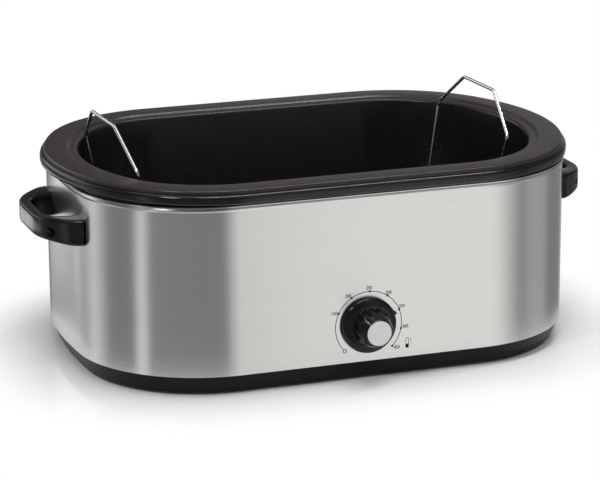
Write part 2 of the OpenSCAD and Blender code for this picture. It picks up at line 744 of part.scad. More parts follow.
// Moulded bail handle: its two arms swell into feet that seat on the wrap, its bar is open behind
// for the fingers, and each arm has a deep recess for its screw
module handle(side) {
    seat = bar_out - 26;
    color([0.05, 0.05, 0.05]) mirror([side < 0 ? 1 : 0, 0, 0]) difference() {
        hull() for (sy = [-1, 1]) {
            translate([bar_out - post_r, sy * bar_half, 0]) handle_post();
            translate([wrap_len / 2 - 12, 0, 0]) mirror([0, sy < 0 ? 1 : 0, 0]) handle_foot();
        }
        translate([0, 0, bar_z - 20]) linear_extrude(bar_h + 40) polygon(bent([
            [wrap_len / 2 - 30, -handle_screw_y + 1], [bar_out - bar_t, -bar_half + 7],
            [bar_out - bar_t, bar_half - 7], [wrap_len / 2 - 30, handle_screw_y - 1]
        ], [9, 9], 0));
        translate([0, 0, bar_z - 20]) linear_extrude(bar_h + 40) polygon(concat(
            [[0, -90]], [for (y = [-90 : 3 : 90]) [half_length(wrap_oval, 0.05, abs(y)), y]], [[0, 90]]
        ));
        for (sy = [-1, 1]) translate([0, sy * handle_screw_y, handle_screw_z]) rotate([0, 90, 0]) {
            translate([0, 0, seat]) cylinder(r = handle_screw_r + 2.7, h = 40);
            translate([0, 0, wrap_len / 2 - 20]) cylinder(r = handle_screw_r + 0.2, h = 40);
        }
    }
}

module handle_left() {
    handle(-1);
}

module handle_right() {
    handle(1);
}

// Screws through the handles' arms and the wrap into the backing plates
module handle_screws() {
    seat = bar_out - 26;
    color([0.75, 0.75, 0.75]) for (s = handle_screws_at)
        translate([s[0] * seat, s[1] * handle_screw_y, handle_screw_z]) {
            rotate([0, 90 * s[0], 0]) pan_head([handle_screw_r + 2, 3], 1.5);
            rotate([0, -90 * s[0], 0]) cylinder(r = handle_screw_r, h = seat - wrap_len / 2 + 12);
        }
}

// Steel strips inside the wrap's ends, tapped for the handle screws
module handle_backing_plates() {
    half = handle_screw_y + 14;
    color([0.66, 0.66, 0.66]) difference() {
        intersection() {
            oval_sweep(wrap_oval) translate([-wrap_t - backing_t, handle_screw_z - 11])
                square([backing_t, 22]);
            union() for (s = [-1, 1]) translate([s * wrap_len / 2, 0, handle_screw_z])
                cube([80, 2 * half, 30], center = true);
        }
        for (s = handle_screws_at) translate([0, s[1] * handle_screw_y, handle_screw_z])
            rotate([0, 90 * s[0], 0]) cylinder(r = handle_screw_r, h = wrap_len);
    }
}

// Knob ---------------------------------------------------------------------------------------------

skirt_h = 9;
skirt_gap = 1.2;
cap_depth = 5;
cap_r = grip_top_r - 1.7;

// Moves a piece made along +Z to the knob's axis, its foot on the wrap's face and its end out
module on_knob_axis() {
    translate([knob_x, -wrap_dep / 2, knob_z]) rotate([90, 0, 0]) children();
}

// Shaft with a flat, from inside the thermostat to inside the knob
module thermostat_shaft() {
    tip = knob_out - cap_depth - 3;
    color([0.8, 0.8, 0.8]) on_knob_axis() difference() {
        translate([0, 0, wrap_t - shaft_in]) cylinder(r = shaft_r, h = shaft_in - wrap_t + tip);
        translate([shaft_r * 0.55, -shaft_r - 1, bush_out + 2]) cube([shaft_r, 2 * shaft_r + 2, tip]);
    }
}

// Temperature knob: hollow skirt with a pointer, and a tapered grip with flutes
module knob() {
    tip = knob_out - cap_depth - 3;
    hub_r = bush_r + 1.5;
    color([0.05, 0.05, 0.05]) on_knob_axis() rotate(-pointer_angle) difference() {
        union() {
            rotate_extrude() polygon(concat(
                [[0, skirt_gap], [skirt_r - 0.6, skirt_gap], [skirt_r, skirt_gap + 0.8]],
                arc([skirt_r - 3, skirt_h - 3.4], 2.4, 15, 75, 3),
                [[grip_r + 2, skirt_h], [0, skirt_h + 0.6]]
            ));
            difference() {
                translate([0, 0, skirt_h - 1])
                    cylinder(r1 = grip_r, r2 = grip_top_r, h = knob_out - skirt_h + 1 - 1);
                for (k = [0 : flutes - 1]) rotate(360 / flutes * (k + 0.5))
                    bar([grip_r + 1.1, 0, skirt_h + 2], [grip_top_r + 0.9, 0, knob_out + 4], 2);
            }
            translate([-1.6, skirt_r - 3, skirt_gap]) cube([3.2, 5.4, skirt_h - 4]);
        }
        translate([0, 0, 0]) difference() {
            cylinder(r = skirt_r - 3, h = skirt_h - 3.4);
            cylinder(r = hub_r, h = skirt_h);
        }
        translate([0, 0, -1]) cylinder(r = bush_r + 0.4, h = bush_out + 2);
        translate([0, 0, -1]) rotate(pointer_angle) difference() {
            cylinder(r = shaft_r, h = tip + 1);
            translate([shaft_r * 0.55, -shaft_r - 1, bush_out + 3]) cube([shaft_r, 2 * shaft_r + 2, tip]);
        }
        translate([0, 0, knob_out - cap_depth]) cylinder(r = cap_r, h = cap_depth);
    }
}

// Light round cap pressed into the end of the grip, with a round edge
module knob_cap() {
    color([0.8, 0.8, 0.79]) on_knob_axis() translate([0, 0, knob_out - cap_depth])
        rotate_extrude() polygon(concat(
            [[0, 0], [cap_r, 0]], arc([cap_r - 1, cap_depth - 1], 1, 0, 90, 3), [[0, cap_depth]]
        ));
}

// Rack ---------------------------------------------------------------------------------------------

frame_z = pan_floor_top + seat_gap + rack_up;
rack_shift = [-7, 7];
weld = 0.3;
rail_y = 32;
rail_r = frame_wire_r - 0.5;
rail_z = frame_z - frame_wire_r - rail_r + weld;
rack_oval = oval(rim_oval[0] - rack_in, rim_oval[1] - rack_in, rim_end_r - rack_in, rim_corner_r - rack_in);
// The feet of the lifting handles, from the rack's long axis and from its middle
grip_foot_y = 0.84 * grip_bend_half;
grip_foot_x = half_length(rack_oval, 0, grip_foot_y);

// The loose rack lies a little turned and off the middle of the pan
module as_it_lies() {
    translate([rack_shift[0], rack_shift[1], 0]) rotate(rack_turn) children();
}

// Frame wire round the rack
module rack_frame() {
    color([0.78, 0.78, 0.78]) as_it_lies()
        oval_sweep(rack_oval) translate([0, frame_z]) circle(r = frame_wire_r, $fn = 12);
}

// Cross wires welded on top of the frame, and two rails welded under it
module rack_wires() {
    z = frame_z + frame_wire_r + cross_wire_r - weld;
    count = floor((grip_foot_x - grip_wire_r - cross_wire_r - 3) / cross_pitch);
    color([0.8, 0.8, 0.8]) as_it_lies() {
        for (k = [-count : count]) {
            y = half_depth(rack_oval, 0, abs(k) * cross_pitch) + 0.6;
            bar([k * cross_pitch, -y, z], [k * cross_pitch, y, z], cross_wire_r);
        }
        x = half_length(rack_oval, 0, rail_y) + frame_wire_r + 1;
        for (s = [-1, 1]) bar([-x, s * rail_y, rail_z], [x, s * rail_y, rail_z], rail_r);
    }
}

// Two bent runners under the rails that stand on the pan's floor
module rack_feet() {
    x = 0.5 * rack_oval[0];
    out = 26;
    lap = 6;
    y = rail_y + out;
    top = rail_z - 2 * rail_r + weld;
    low = pan_floor_top + seat_gap + rail_r;
    color([0.78, 0.78, 0.78]) as_it_lies() for (s = [-1, 1]) wire([
        [s * x, -rail_y + lap, top], [s * x, -y, top], [s * x, -y, low],
        [s * x, y, low], [s * x, y, top], [s * x, rail_y - lap, top]
    ], rail_r, 3.2);
}

// Lifting handle: one bent wire, welded on the frame, that widens to its bend at the height of the
// pan's flange and closes to a short bar above it. It leans out towards the end of the pan.
module rack_handle(side) {
    foot_z = frame_z + frame_wire_r - 0.1;
    lean = 11;
    bend = (pan_flange_top - foot_z) / cos(lean);
    top = bend + grip_up / cos(lean);
    color([0.82, 0.82, 0.82]) as_it_lies() mirror([side < 0 ? 1 : 0, 0, 0])
        translate([grip_foot_x, 0, foot_z]) rotate([90 + lean, 0, 90]) flat_wire([
            [-grip_foot_y, 0], [-grip_bend_half, bend], [-grip_half, top], [grip_half, top],
            [grip_bend_half, bend], [grip_foot_y, 0]
        ], grip_wire_r, 9);
}

module rack_handle_left() {
    rack_handle(-1);
}

module rack_handle_right() {
    rack_handle(1);
}

steel_wrap();
base();
bottom_plate();
feet();
base_screws();
trim_collar();
heating_well();
insulation_blanket();
heating_element();
element_clips();
handle_left();
handle_right();
handle_screws();
handle_backing_plates();
tie_studs();
tie_spacers();
tie_nuts();
thermostat_body();
thermostat_screws();
sensing_bulb();
terminal_block();
heater_leads();
thermostat_leads();
cord_bushing();
thermostat_shaft();
knob();
knob_cap();
roasting_pan();
rack_frame();
rack_wires();
rack_feet();
rack_handle_left();
rack_handle_right();
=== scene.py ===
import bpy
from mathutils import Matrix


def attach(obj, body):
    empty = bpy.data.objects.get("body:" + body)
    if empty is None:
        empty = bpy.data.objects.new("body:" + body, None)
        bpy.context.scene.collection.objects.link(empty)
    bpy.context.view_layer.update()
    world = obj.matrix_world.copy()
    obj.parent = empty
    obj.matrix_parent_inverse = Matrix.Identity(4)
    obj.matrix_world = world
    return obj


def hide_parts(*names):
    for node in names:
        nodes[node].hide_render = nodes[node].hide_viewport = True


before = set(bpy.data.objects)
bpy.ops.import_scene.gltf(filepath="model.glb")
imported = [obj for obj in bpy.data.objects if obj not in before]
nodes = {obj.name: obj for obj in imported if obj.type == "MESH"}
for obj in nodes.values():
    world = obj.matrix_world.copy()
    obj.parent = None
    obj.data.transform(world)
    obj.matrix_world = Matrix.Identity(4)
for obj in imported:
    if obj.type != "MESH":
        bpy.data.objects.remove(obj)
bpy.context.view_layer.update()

import math

import bmesh
import bpy
from mathutils import Matrix, Vector


# The steel wrap: one strip of stainless sheet bent round the oval and closed at the back, with a
# bead rolled under its top edge. It is brushed along its length, so its reflections stretch
# up and down, and its lower edge shows bright where it was sheared.

class Sock:
    """One output of a material's nodes. Sums and products of it add Math nodes."""

    def __init__(self, made, socket):
        self.made, self.socket = made, socket

    def math(self, operation, *others):
        return self.made.add("ShaderNodeMath", {"operation": operation}, self, *others)

    def __add__(self, other):
        return self.math("ADD", other)

    def __sub__(self, other):
        return self.math("SUBTRACT", other)

    def __rsub__(self, other):
        return self.made.add("ShaderNodeMath", {"operation": "SUBTRACT"}, other, self)

    def __mul__(self, other):
        return self.math("MULTIPLY", other)

    def __rmul__(self, other):
        return self.math("MULTIPLY", other)

    def __truediv__(self, other):
        return self.math("DIVIDE", other)

    def above(self, edge, soft):
        """0 below edge, 1 above edge + soft, and smooth between."""
        return self.made.add("ShaderNodeMapRange", {"interpolation_type": "SMOOTHSTEP"},
                             self, edge, edge + soft, 0.0, 1.0)


class Finish:
    """A material of this oven. Settings of its own shader are named as Blender names them."""

    def __init__(self, name, tree=None, **shader):
        if tree is None:
            self.material = bpy.data.materials.new(name)
            self.material.use_nodes = True
            tree = self.material.node_tree
            self.shader = tree.nodes["Principled BSDF"]
            for key, value in shader.items():
                self.shader.inputs[key.replace("_", " ")].default_value = value
        self.tree = tree

    def add(self, kind, settings=None, *values, out=0, at=None, **named):
        """Any node: its settings, then the values of its sockets in order, by place or by name."""
        node = self.tree.nodes.new(kind)
        for key, value in (settings or {}).items():
            if key == "stops":
                ramp = node.color_ramp
                while len(ramp.elements) < len(value):
                    ramp.elements.new(0.5)
                for stop, (place, colour) in zip(ramp.elements, value):
                    stop.position, stop.color = place, (*colour, 1.0)
            else:
                setattr(node, key, value)
        for place, value in [*enumerate(values), *(at or {}).items(), *named.items()]:
            self.put(value, node.inputs[place])
        return Sock(self, node.outputs[out])

    def put(self, value, socket):
        if isinstance(value, Sock):
            self.tree.links.new(value.socket, socket)
        elif value is not None:
            if isinstance(value, (tuple, list)) and len(value) == 3 and socket.type == "RGBA":
                value = (*value, 1.0)
            socket.default_value = value

    def set(self, **inputs):
        for key, value in inputs.items():
            self.put(value, self.shader.inputs[key.replace("_", " ")])
        return self

    def place(self, scale=(1, 1, 1)):
        """Object coordinates, in metres, times scale."""
        spot = self.add("ShaderNodeTexCoord", out=3)
        if tuple(scale) == (1, 1, 1):
            return spot
        return self.add("ShaderNodeVectorMath", {"operation": "MULTIPLY"}, spot, tuple(scale))

    def noise(self, scale, detail=3.0, rough=0.55):
        """Noise whose grains repeat about scale times in a metre, one number for each axis."""
        scale = scale if isinstance(scale, (tuple, list)) else (scale,) * 3
        return self.add("ShaderNodeTexNoise", None, Vector=self.place(scale), Scale=1.0,
                        Detail=detail, Roughness=rough)

    def axis(self, name):
        """The height or another coordinate over the origin, in metres."""
        return self.add("ShaderNodeSeparateXYZ", None, self.place(), out="XYZ".index(name))

    def mix(self, amount, low, high):
        return self.add("ShaderNodeMix", {"data_type": "RGBA"}, amount, out=2, at={6: low, 7: high})

    def bump(self, height, depth, normal=None):
        """A bump of that depth in metres, as a normal."""
        return self.add("ShaderNodeBump", None, Strength=1.0, Distance=depth, Height=height,
                        Normal=normal)


def dress(node, finish):
    """Puts a finish on a CAD node."""
    mesh = nodes[node].data
    mesh.materials.clear()
    mesh.materials.append(finish.material)


def standing(name, shape, finish=None):
    """Makes a bmesh an object of the scene, with its finish, and frees the bmesh."""
    mesh = bpy.data.meshes.new(name)
    shape.to_mesh(mesh)
    shape.free()
    if finish:
        mesh.materials.append(finish.material)
    thing = bpy.data.objects.new(name, mesh)
    bpy.context.scene.collection.objects.link(thing)
    return thing


def smooth_piece(name, shape, body, slot, finish, sharp, *nodes_replaced):
    """Makes a bmesh in metres a smooth piece of the oven, with its finish and body; its slot is not used."""
    for face in shape.faces:
        face.smooth = True
    piece = standing(name, shape, finish)
    if "custom_normal" in piece.data.attributes:
        piece.data.attributes.remove(piece.data.attributes["custom_normal"])
    piece.data.set_sharp_from_angle(angle=math.radians(sharp))
    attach(piece, body)
    if nodes_replaced:
        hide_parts(*nodes_replaced)
    return piece


def pressed(name, node, body, slot, finish, sharp=25):
    """A node's own shape with its triangles joined, so that its long bends shine without facets."""
    shape = bmesh.new()
    shape.from_mesh(nodes[node].data)
    bmesh.ops.remove_doubles(shape, verts=shape.verts[:], dist=1e-6)
    smooth_piece(name, shape, body, slot, finish, sharp, node)


steel = Finish("brushed steel", Metallic=1.0, Anisotropic=0.8, Anisotropic_Rotation=0.25)
grain = steel.noise((5, 5, 2600), detail=3, rough=0.7)
long_grain = steel.noise((1.6, 1.6, 700), detail=2)
rolled = steel.noise((3, 3, 9), detail=2)
streak = grain * 0.7 + long_grain * 0.3
steel.set(
    Base_Color=steel.mix(streak, (0.635, 0.62, 0.605), (0.775, 0.76, 0.742)),
    Roughness=streak * 0.08 + rolled * 0.05 + 0.17,
    Normal=steel.bump(grain, 0.0000015, steel.bump(rolled, 0.0006)),
)
pressed("wrap_sheet", "steel_wrap", "oven", "brushed_steel", steel)


# The base: a moulding of black heat-resistant plastic under the wrap, with a fine matt texture.

moulding = Finish("black moulding", Specular_IOR_Level=0.12)
pebble = moulding.noise(1100, detail=2)
moulding.set(
    Base_Color=moulding.mix(pebble, (0.003, 0.003, 0.003), (0.006, 0.006, 0.006)),
    Roughness=pebble * 0.08 + 0.3,
    Normal=moulding.bump(pebble, 0.00002),
)
pressed("base_moulding", "base", "oven", "black_moulding", moulding)
dress("cord_bushing", moulding)


# The rubber feet, snapped into the bottom plate.

rubber = Finish("foot rubber")
bloom = rubber.noise(420, detail=4)
rubber.set(
    Base_Color=rubber.mix(bloom, (0.02, 0.02, 0.021), (0.04, 0.04, 0.042)),
    Roughness=bloom * 0.15 + 0.7,
    Normal=rubber.bump(bloom, 0.00005),
)
dress("feet", rubber)


# Plated sheet steel: the bottom plate, the spacers, the element's straps and the handles' backing
# plates, pressed from zinc-plated sheet with a faint spangle.

plated = Finish("plated sheet", Metallic=0.9)
spangle = plated.add("ShaderNodeTexVoronoi", {"feature": "F1"}, out=1,
                     Vector=plated.place(), Scale=160.0)
spangle_tone = plated.add("ShaderNodeSeparateColor", None, spangle)
plated.set(
    Base_Color=plated.mix(spangle_tone, (0.42, 0.43, 0.44), (0.6, 0.61, 0.62)),
    Roughness=spangle_tone * 0.2 + 0.32,
)
for node in ("bottom_plate", "tie_spacers", "element_clips", "handle_backing_plates"):
    dress(node, plated)


# The screws, nuts, studs and the thermostat's shaft, bright plated.

bright = Finish("screw plating", Metallic=1.0)
wiping = bright.noise(700, detail=3)
bright.set(
    Base_Color=bright.mix(wiping, (0.55, 0.55, 0.54), (0.72, 0.72, 0.71)),
    Roughness=wiping * 0.18 + 0.16,
)
for node in ("base_screws", "handle_screws", "tie_studs", "tie_nuts", "thermostat_screws",
             "thermostat_shaft"):
    dress(node, bright)


# The heating well: pressed steel with its rim rolled down outside, dipped in black enamel, which
# runs a little thick on the edges.

enamel = Finish("black enamel", Specular_IOR_Level=0.4)
flow = enamel.noise(60, detail=3)
speck = enamel.noise(1600, detail=1).above(0.66, 0.05)
enamel.set(
    Base_Color=enamel.mix(speck * 0.3, (0.006, 0.0055, 0.0055), (0.03, 0.029, 0.028)),
    Roughness=flow * 0.06 + 0.1,
    Normal=enamel.bump(flow, 0.0001),
)
pressed("well_pressing", "heating_well", "oven", "black_enamel", enamel)
pressed("collar_ring", "trim_collar", "oven", "black_moulding", enamel)


# The roasting pan: pressed steel with a wide flange, in dark enamel a little browner and duller
# than the well's, with fine pale specks. Its colour is lighter on the flange above 221 mm, as
# painted light, and near black below it, as painted shade inside the pan.

pan_enamel = Finish("pan enamel", Specular_IOR_Level=0.3)
pan_flow = pan_enamel.noise(45, detail=3)
pan_speck = pan_enamel.noise(1300, detail=1).above(0.62, 0.05)
# painted light and shade: the flange above 221 mm is a lighter brown-grey, the pan below it near black
pan_enamel.set(
    Base_Color=pan_enamel.mix(pan_speck * 0.25, pan_enamel.mix(
        pan_enamel.axis("Z").above(0.221, 0.003), (0.006, 0.0053, 0.0052), (0.026, 0.0195, 0.019)),
        (0.06, 0.056, 0.054)),
    Roughness=pan_flow * 0.08 + 0.24,
    Normal=pan_enamel.bump(pan_flow, 0.0001),
)
pressed("pan_pressing", "roasting_pan", "pan", "pan_enamel", pan_enamel)


# The two bail handles: glossy black phenolic mouldings, each a rounded bail whose two broad arms
# stand against the wrap. A screw in a round recess in each arm goes through to a plate inside.

def along(rows, steps):
    """The rows of numbers, with more rows on a smooth curve between each two."""
    first = [2 * a - b for a, b in zip(rows[0], rows[1])]
    last = [2 * a - b for a, b in zip(rows[-1], rows[-2])]
    ends = [first, *rows, last]
    curve = []
    for four in zip(ends, ends[1:], ends[2:], ends[3:]):
        for step in range(steps):
            t = step / steps
            curve.append([0.5 * (2 * b + (c - a) * t + (2 * a - 5 * b + 4 * c - d) * t ** 2
                                 + (3 * b - a - 3 * c + d) * t ** 3) for a, b, c, d in zip(*four)])
    return [*curve, list(rows[-1])]


def axes(side, up, ahead, spot):
    """The place of a section: its two half sizes as vectors, the way it faces, and its middle."""
    return Matrix.Translation(spot) @ Matrix((side, up, ahead)).transposed().to_4x4()


def swept(shape, places):
    """Extrudes a bmesh's one face, drawn at the origin, from place to place, and gives the last cap."""
    cap = shape.faces[:][0]
    bmesh.ops.transform(shape, matrix=places[0], verts=shape.verts[:])
    for before, after in zip(places, places[1:]):
        grown = bmesh.ops.extrude_face_region(shape, geom=[cap])["geom"]
        cap = next(part for part in grown if isinstance(part, bmesh.types.BMFace))
        corners = [part for part in grown if isinstance(part, bmesh.types.BMVert)]
        bmesh.ops.transform(shape, matrix=after @ before.inverted(), verts=corners)
    return cap


def finished(name, shape, body, slot, finish, *nodes_replaced, sharp=35):
    """Makes a bmesh in millimetres a piece of the oven, with its finish and body; its slot is not used."""
    bmesh.ops.remove_doubles(shape, verts=shape.verts[:], dist=0.001)
    bmesh.ops.recalc_face_normals(shape, faces=shape.faces[:])
    bmesh.ops.scale(shape, vec=(0.001,) * 3, verts=shape.verts[:])
    return smooth_piece(name, shape, body, slot, finish, sharp, *nodes_replaced)


phenolic = Finish("black phenolic", Specular_IOR_Level=0.3)
mottle = phenolic.noise(220, detail=4)
phenolic.set(
    Base_Color=phenolic.mix(mottle, (0.004, 0.004, 0.004), (0.008, 0.008, 0.008)),
    Roughness=mottle * 0.05 + 0.08,
    Normal=phenolic.bump(mottle, 0.00001),
)

end_radius, wrap_half = 720.0, 280.0
handle_edge, handle_sharp = 0.3, 35
seam_x = 277.2
screw_y, screw_z, screw_seat, recess_radius = 58.0, 161.0, 290.0, 5.2
# from the wrap to the middle of the bail: x, y, half the width, underside, top
handle_rows = along([
    (277.0, 66.0, 14.8, 147.6, 176.2), (284.0, 62.6, 13.4, 148.0, 176.0), (292.5, 57.4, 11.2, 149.3, 175.3),
    (301.0, 50.5, 9.0, 150.8, 174.6), (307.7, 41.5, 7.0, 151.6, 174.2), (311.3, 31.0, 6.1, 152.0, 174.0),
    (312.0, 18.0, 6.0, 152.0, 174.0), (312.0, 0.0, 6.0, 152.0, 174.0),
], 4)


def wrap_end(y):
    """How far out the wrap's curved end is at that y."""
    return wrap_half - end_radius + math.sqrt(end_radius ** 2 - y ** 2)


for side in ("left", "right"):
    arm = bmesh.new()
    bmesh.ops.create_circle(arm, cap_ends=True, segments=4, radius=math.sqrt(2),
                            matrix=Matrix.Rotation(math.radians(45), 4, "Z"))
    bmesh.ops.bevel(arm, geom=arm.verts[:], offset=handle_edge, offset_type="OFFSET", segments=5, profile=0.5,
                    affect="VERTICES", material=-1)
    places = []
    for index, (x, y, half, low, top) in enumerate(handle_rows):
        before, after = handle_rows[max(index - 1, 0)], handle_rows[min(index + 1, len(handle_rows) - 1)]
        ahead = Vector((after[0] - before[0], after[1] - before[1], 0)).normalized()
        if index == 0:
            ahead = Vector((1, 0, 0))
        if index == len(handle_rows) - 1:
            ahead = Vector((0, -1, 0))
        across = ahead.cross(Vector((0, 0, 1)))
        places.append(axes(across * half, Vector((0, 0, (top - low) / 2)), ahead,
                           Vector((x, y, (low + top) / 2))))
    middle = swept(arm, places)
    bmesh.ops.delete(arm, geom=[middle], context="FACES_ONLY")
    for corner_point in arm.verts:
        if corner_point.co.x < seam_x:
            corner_point.co.x = wrap_end(corner_point.co.y)
    bmesh.ops.mirror(arm, geom=arm.verts[:] + arm.edges[:] + arm.faces[:], axis="Y", merge_dist=0.01)
    if side == "left":
        bmesh.ops.scale(arm, vec=(-1, 1, 1), verts=arm.verts[:])
    handle = finished("bail_handle_" + side, arm, "oven", "handle_black", phenolic, "handle_" + side)
    drill = bmesh.new()
    for way in (-1, 1):
        out = 1 if side == "right" else -1
        bmesh.ops.create_cone(
            drill, cap_ends=True, segments=40, radius1=recess_radius, radius2=recess_radius, depth=60,
            matrix=Matrix.Translation((out * (screw_seat + 30), way * screw_y, screw_z))
            @ Matrix.Rotation(math.radians(90), 4, "Y"))
    bmesh.ops.scale(drill, vec=(0.001,) * 3, verts=drill.verts[:])
    drill_piece = standing("recess", drill)
    recess = handle.modifiers.new("recess", "BOOLEAN")
    recess.operation, recess.object, recess.solver = "DIFFERENCE", drill_piece, "EXACT"
    bored = bpy.data.meshes.new_from_object(handle.evaluated_get(bpy.context.evaluated_depsgraph_get()))
    handle.modifiers.clear()
    handle.data = bored
    bored.set_sharp_from_angle(angle=math.radians(handle_sharp))
    bpy.data.objects.remove(drill_piece)


# The knob: a black phenolic moulding on the thermostat's shaft. It has a hollow skirt with a pointer
# nub, and a grip whose shallow flutes run out into a cone, which takes the pressed-in cap.

knob_spot = Matrix.Translation((4.5, -188.75, 63.0)) @ Matrix.Rotation(math.radians(90), 4, "X")
pointer_angle = 69.4
flute_count, flute_depth, flute_shape = 12, 1.9, 1.6
flute_start, flute_end, flute_fade, flute_inside = 9.2, 25.0, 5.0, 14.8
nub_spot, nub_size, nub_edge = (0, 30.4, 3.7), (3.2, 4.6, 4.6), 0.8
# the wall's section, as radius and height over the wrap, once round
knob_wall = [
    (29.9, 1.2), (30.3, 1.5), (30.5, 2.2), (30.5, 4.4), (30.2, 5.3), (29.3, 6.3), (27.2, 7.6),
    (24.6, 8.6), (22.4, 9.0), (21.2, 9.3), (20.8, 10.0), (20.6, 12.5), (20.4, 15.5), (20.2, 18.0),
    (20.0, 20.0), (19.7, 21.2),
    (19.2, 22.6), (18.4, 25.0), (17.3, 28.2), (16.0, 32.0), (15.4, 33.6), (15.0, 34.4), (14.5, 34.9),
    (14.1, 35.0), (13.85, 34.7), (13.8, 30.0), (3.05, 30.0), (3.05, 7.0), (5.4, 7.0), (5.4, 1.4),
    (6.5, 1.4), (6.5, 5.6), (27.5, 5.6), (27.5, 1.2),
]
turned_knob = bmesh.new()
rim_points = [turned_knob.verts.new((radius, 0, height)) for radius, height in knob_wall]
section = [turned_knob.edges.new(pair) for pair in zip(rim_points, rim_points[1:] + rim_points[:1])]
bmesh.ops.spin(turned_knob, geom=rim_points + section, cent=(0, 0, 0), axis=(0, 0, 1), angle=2 * math.pi,
               steps=144, use_merge=True)
for point in turned_knob.verts:
    radius, height = point.co.xy.length, point.co.z
    if radius > flute_inside and flute_start < height < flute_end:
        fade = min(1.0, (flute_end - height) / flute_fade)
        wave = 0.5 + 0.5 * math.cos(flute_count * math.atan2(point.co.y, point.co.x))
        point.co.xy *= (radius - flute_depth * fade * wave ** flute_shape) / radius
nub = bmesh.ops.create_cube(turned_knob, size=1.0, matrix=Matrix.Translation(nub_spot)
                            @ Matrix.Diagonal((*nub_size, 1.0)))["verts"]
nub_edges = {edge for point in nub for edge in point.link_edges}
bmesh.ops.bevel(turned_knob, geom=list(nub_edges), offset=nub_edge, offset_type="OFFSET", segments=3,
                profile=0.5, affect="EDGES", material=-1)
bmesh.ops.rotate(turned_knob, cent=(0, 0, 0), matrix=Matrix.Rotation(math.radians(-pointer_angle), 3, "Z"),
                 verts=turned_knob.verts[:])
bmesh.ops.transform(turned_knob, matrix=knob_spot, verts=turned_knob.verts[:])
finished("fluted_knob", turned_knob, "knob", "handle_black", phenolic, "knob", sharp=30)


# The knob's cap: a light grey insert with a satin face.

cap_finish = Finish("cap grey")
satin = cap_finish.noise(1200, detail=2)
cap_finish.set(
    Base_Color=cap_finish.mix(satin, (0.56, 0.56, 0.55), (0.64, 0.64, 0.63)),
    Roughness=satin * 0.1 + 0.3,
)
dress("knob_cap", cap_finish)


# The scale: thin dark ink printed on the wrap round the knob. It has a ring with a dot at each
# mark, plain numbers outside it, an open dot at its low end and a small thermometer.

ink = Finish("scale ink", Specular_IOR_Level=0.1)
patchy = ink.noise(900, detail=2)
ink.set(
    Base_Color=ink.mix(patchy, (0.003, 0.003, 0.003), (0.008, 0.008, 0.008)),
    Roughness=patchy * 0.1 + 0.5,
)
ring_radius, ring_line, ink_low, ink_high = 37.5, 0.75, 0.02, 0.06
ring_centre = (0.7, -1.0)
dot_radius, open_dot_radius = 1.3, 1.9
marks = [(-64, "150", -37.8, 16.0), (-31, "200", -22.6, 33.9), (2, "250", 1.0, 40.6), (35, "300", 23.5, 33.2),
         (68, "350", 38.4, 16.6), (101, "400", 42.7, -6.5), (134, "450", 32.8, -28.8)]
number_width, number_height = 6.6, 4.0
ring_start, ring_angle, open_dot_at = -131, 265, -134
printed = bmesh.new()


def printed_band(centre, radius, line, start, angle):
    """An arc of ink: a small section spun round the centre, clockwise from start as seen from the front."""
    points = [printed.verts.new(spot) for spot in (
        (0, radius - line / 2, ink_low), (0, radius + line / 2, ink_low),
        (0, radius + line / 2, ink_high), (0, radius - line / 2, ink_high))]
    end = printed.faces.new(points)
    bmesh.ops.rotate(printed, cent=(0, 0, 0), matrix=Matrix.Rotation(math.radians(-start), 3, "Z"),
                     verts=points)
    bmesh.ops.translate(printed, vec=(*centre, 0), verts=points)
    full = angle == 360
    bmesh.ops.spin(printed, geom=[end] if not full else points + list(end.edges), cent=(*centre, 0),
                   axis=(0, 0, -1), angle=math.radians(angle), steps=max(12, int(angle / 4)), use_merge=full)
    if full:
        printed.faces.remove(end)


def printed_disc(x, y, radius):
    """A flat dot of ink."""
    bmesh.ops.create_cone(printed, cap_ends=True, segments=20, radius1=radius, radius2=radius,
                          depth=ink_high - ink_low,
                          matrix=Matrix.Translation((x, y, (ink_low + ink_high) / 2)))


def printed_bar(x, y, width, height):
    """A flat bar of ink."""
    bmesh.ops.create_cube(printed, size=1.0, matrix=Matrix.Translation((x, y, (ink_low + ink_high) / 2))
                          @ Matrix.Diagonal((width, height, ink_high - ink_low, 1.0)))


def printed_number(words, x, y):
    """A number set as text, made a mesh, and brought to the print's width and height."""
    curve = bpy.data.curves.new("number", "FONT")
    curve.body, curve.resolution_u, curve.extrude, curve.offset = words, 2, 0.01, 0.016
    setting = bpy.data.objects.new("number", curve)
    bpy.context.scene.collection.objects.link(setting)
    bpy.context.view_layer.update()
    solid = bpy.data.meshes.new_from_object(setting.evaluated_get(bpy.context.evaluated_depsgraph_get()))
    bpy.data.objects.remove(setting)
    low = Vector([min(point.co[axis] for point in solid.vertices) for axis in range(3)])
    high = Vector([max(point.co[axis] for point in solid.vertices) for axis in range(3)])
    span, middle = high - low, (low + high) / 2
    fit = Matrix.Diagonal((number_width / span.x, number_height / span.y,
                           (ink_high - ink_low) / span.z, 1.0))
    solid.transform(Matrix.Translation((x, y, (ink_low + ink_high) / 2)) @ fit
                    @ Matrix.Translation(-middle))
    printed.from_mesh(solid)
    bpy.data.meshes.remove(solid)


printed_band(ring_centre, ring_radius, ring_line, ring_start, ring_angle)
for degrees, number, x, y in marks:
    turn = math.radians(degrees)
    printed_disc(ring_centre[0] + ring_radius * math.sin(turn), ring_centre[1] + ring_radius * math.cos(turn),
                 dot_radius)
    printed_number(number, x, y)
low_end = math.radians(open_dot_at)
printed_band((ring_centre[0] + ring_radius * math.sin(low_end),
              ring_centre[1] + ring_radius * math.cos(low_end)),
             open_dot_radius, ring_line, 0, 360)
# the thermometer: its round top, its two sides, its bulb, and the degree bar beside it
printed_band((44.8, -21.4), 1.6, 0.5, -90, 180)
for x in (43.2, 46.4):
    printed_bar(x, -24.2, 0.5, 5.6)
printed_bar(44.8, -28.7, 3.7, 4.4)
printed_bar(48.9, -22.8, 0.6, 3.4)
bmesh.ops.transform(printed, matrix=knob_spot, verts=printed.verts[:])
finished("printed_scale", printed, "oven", "black_moulding", ink)


